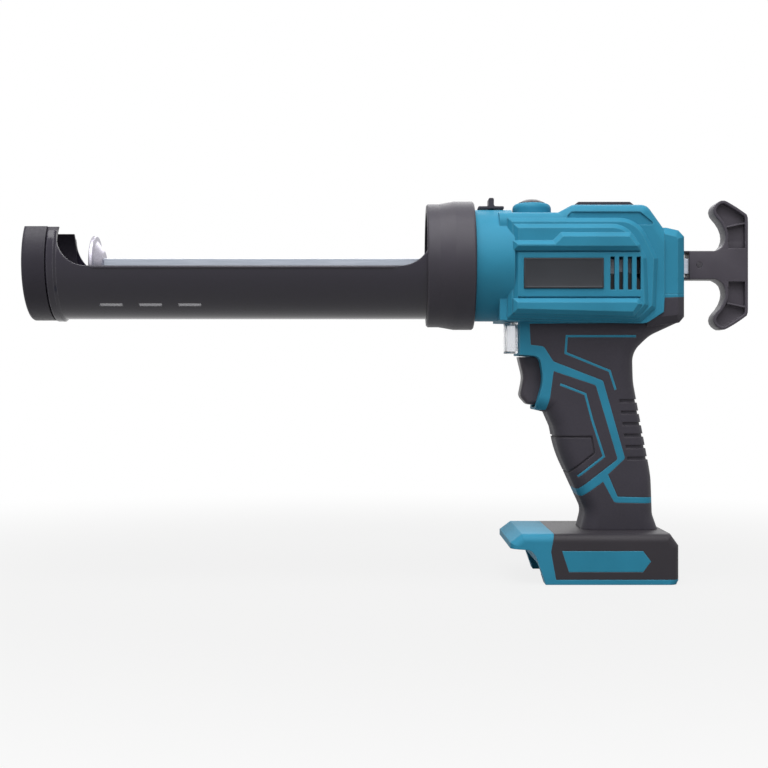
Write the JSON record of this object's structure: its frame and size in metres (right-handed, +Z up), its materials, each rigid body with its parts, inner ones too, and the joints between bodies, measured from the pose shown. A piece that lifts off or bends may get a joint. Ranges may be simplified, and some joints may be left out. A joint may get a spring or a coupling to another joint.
{
  "type": "cordless caulking tool",
  "caption": "Pistol-grip cordless caulking tool: half-pipe cartridge barrel, toothed push rod driven by a geared motor, pull handle, trigger and slide-battery foot.",
  "frame": {"origin": "on the push rod's axis, at the front face of the barrel collar, where the cartridge seats", "axes": "+X to the rear along the push rod, towards the pull handle, +Z up, +Y to the user's right"},
  "size_m": [0.3806, 0.0754, 0.2011],
  "materials": {
    "teal_shell": "moulded, fine matt grain",
    "soft_grip": "overmoulded elastomer, matt",
    "foot_dark": "moulded, matt",
    "foot_teal": "moulded, matt",
    "plate": "bare moulded plate, satin",
    "dark_plastic": "moulded, satin",
    "handle_plastic": "moulded, satin",
    "cap_plastic": "moulded, satin",
    "holder_paint": "powder coat, satin",
    "rack_steel": "milled, oiled",
    "piston_metal": "turned, bright",
    "hub_alloy": "die cast",
    "bush_bronze": "sintered",
    "gear_steel": "hobbed, hardened",
    "motor_steel": "drawn and plated",
    "motor_core": "stacked sheet and windings",
    "inner_plastic": "moulded",
    "board": "glass-fibre laminate",
    "contact_brass": "plated sheet",
    "spring_steel": "drawn wire",
    "screw_steel": "zinc plated",
    "lens": "clear moulded lens"
  },
  "bodies": {
    "housing": {"control_board": "board", "front_rod_bush": "bush_bronze", "gear_frame": "gear_steel", "gearbox_cover": "hub_alloy", "housing_screws": "screw_steel", "lamp_board": "board", "lamp_lens": "lens", "left_foot_cover": "foot_dark", "left_foot_inlay": "foot_teal", "left_grip_back": "soft_grip", "left_grip_base": "soft_grip", "left_grip_front": "soft_grip", "left_housing": "teal_shell", "left_side_plate": "plate", "motor_can": "motor_steel", "motor_end_cap": "inner_plastic", "nose_hub": "hub_alloy", "pinion_bearings": "bush_bronze", "rear_cover": "teal_shell", "rear_rod_bush": "bush_bronze", "release_spring": "spring_steel", "right_foot_cover": "foot_dark", "right_foot_inlay": "foot_teal", "right_grip_back": "soft_grip", "right_grip_base": "soft_grip", "right_grip_front": "soft_grip", "right_housing": "teal_shell", "ring_gear": "gear_steel", "spring_seat": "gear_steel", "switch_module": "inner_plastic", "terminal_blades": "contact_brass", "terminal_block": "inner_plastic", "top_pad": "soft_grip", "trigger_spring": "spring_steel"},
    "barrel": {"cartridge_holder": "holder_paint", "front_cap": "cap_plastic", "barrel_collar": "dark_plastic"},
    "plunger": {"push_rod": "rack_steel", "piston": "piston_metal", "piston_nut": "rack_steel", "pull_handle": "handle_plastic", "handle_pin": "rack_steel"},
    "pinion": {"pinion_shaft": "gear_steel", "rack_pinion": "gear_steel", "drive_gear": "gear_steel"},
    "carrier": {"planet_carrier": "gear_steel", "output_gear": "gear_steel"},
    "planet_1": {"planet_gear_1": "gear_steel"},
    "planet_2": {"planet_gear_2": "gear_steel"},
    "planet_3": {"planet_gear_3": "gear_steel"},
    "rotor": {"rotor": "motor_core", "sun_gear": "gear_steel"},
    "trigger": {"trigger": "dark_plastic"},
    "release_button": {"release_button": "dark_plastic"},
    "barrel_lock": {"barrel_lock": "dark_plastic"}
  },
  "joints": [
    {"name": "barrel_swivel", "type": "hinge", "parent": "housing", "child": "barrel", "pos_m": [0, 0, 0], "axis": [1, 0, 0], "continuous": true},
    {"name": "rod_slide", "type": "slide", "parent": "housing", "child": "plunger", "axis": [1, 0, 0], "range_m": [0, 0.188]},
    {"name": "pinion_turn", "type": "hinge", "parent": "housing", "child": "pinion", "pos_m": [0.079, 0, -0.01261], "axis": [0, 1, 0], "continuous": true},
    {"name": "carrier_turn", "type": "hinge", "parent": "housing", "child": "carrier", "pos_m": [0.1007, 0, -0.0166], "axis": [0, 1, 0], "continuous": true},
    {"name": "planet_1_turn", "type": "hinge", "parent": "carrier", "child": "planet_1", "pos_m": [0.10676, 0, -0.0166], "axis": [0, 1, 0], "continuous": true},
    {"name": "planet_2_turn", "type": "hinge", "parent": "carrier", "child": "planet_2", "pos_m": [0.09767, 0, -0.01135], "axis": [0, 1, 0], "continuous": true},
    {"name": "planet_3_turn", "type": "hinge", "parent": "carrier", "child": "planet_3", "pos_m": [0.09767, 0, -0.02185], "axis": [0, 1, 0], "continuous": true},
    {"name": "rotor_turn", "type": "hinge", "parent": "housing", "child": "rotor", "pos_m": [0.1007, 0, -0.0166], "axis": [0, 1, 0], "continuous": true},
    {"name": "trigger_pull", "type": "slide", "parent": "housing", "child": "trigger", "axis": [1, 0, 0], "range_m": [0, 0.006], "stiffness_N_per_m": 800, "springref_m": -0.004, "deforming": ["trigger_spring"]},
    {"name": "release_press", "type": "slide", "parent": "housing", "child": "release_button", "axis": [0, 0, -1], "range_m": [0, 0.0025], "stiffness_N_per_m": 600, "springref_m": -0.004, "deforming": ["release_spring"]},
    {"name": "lock_slide", "type": "slide", "parent": "housing", "child": "barrel_lock", "axis": [1, 0, 0], "range_m": [0, 0.004]}
  ],
  "couplings": [
    {"joint": "pinion_turn", "follows": "rod_slide", "rad_per_m": 111.11},
    {"joint": "carrier_turn", "follows": "rod_slide", "rad_per_m": -194.44},
    {"joint": "rotor_turn", "follows": "rod_slide", "rad_per_m": -777.78},
    {"joint": "planet_1_turn", "follows": "rod_slide", "rad_per_m": 583.33},
    {"joint": "planet_2_turn", "follows": "rod_slide", "rad_per_m": 583.33},
    {"joint": "planet_3_turn", "follows": "rod_slide", "rad_per_m": 583.33}
  ]
}
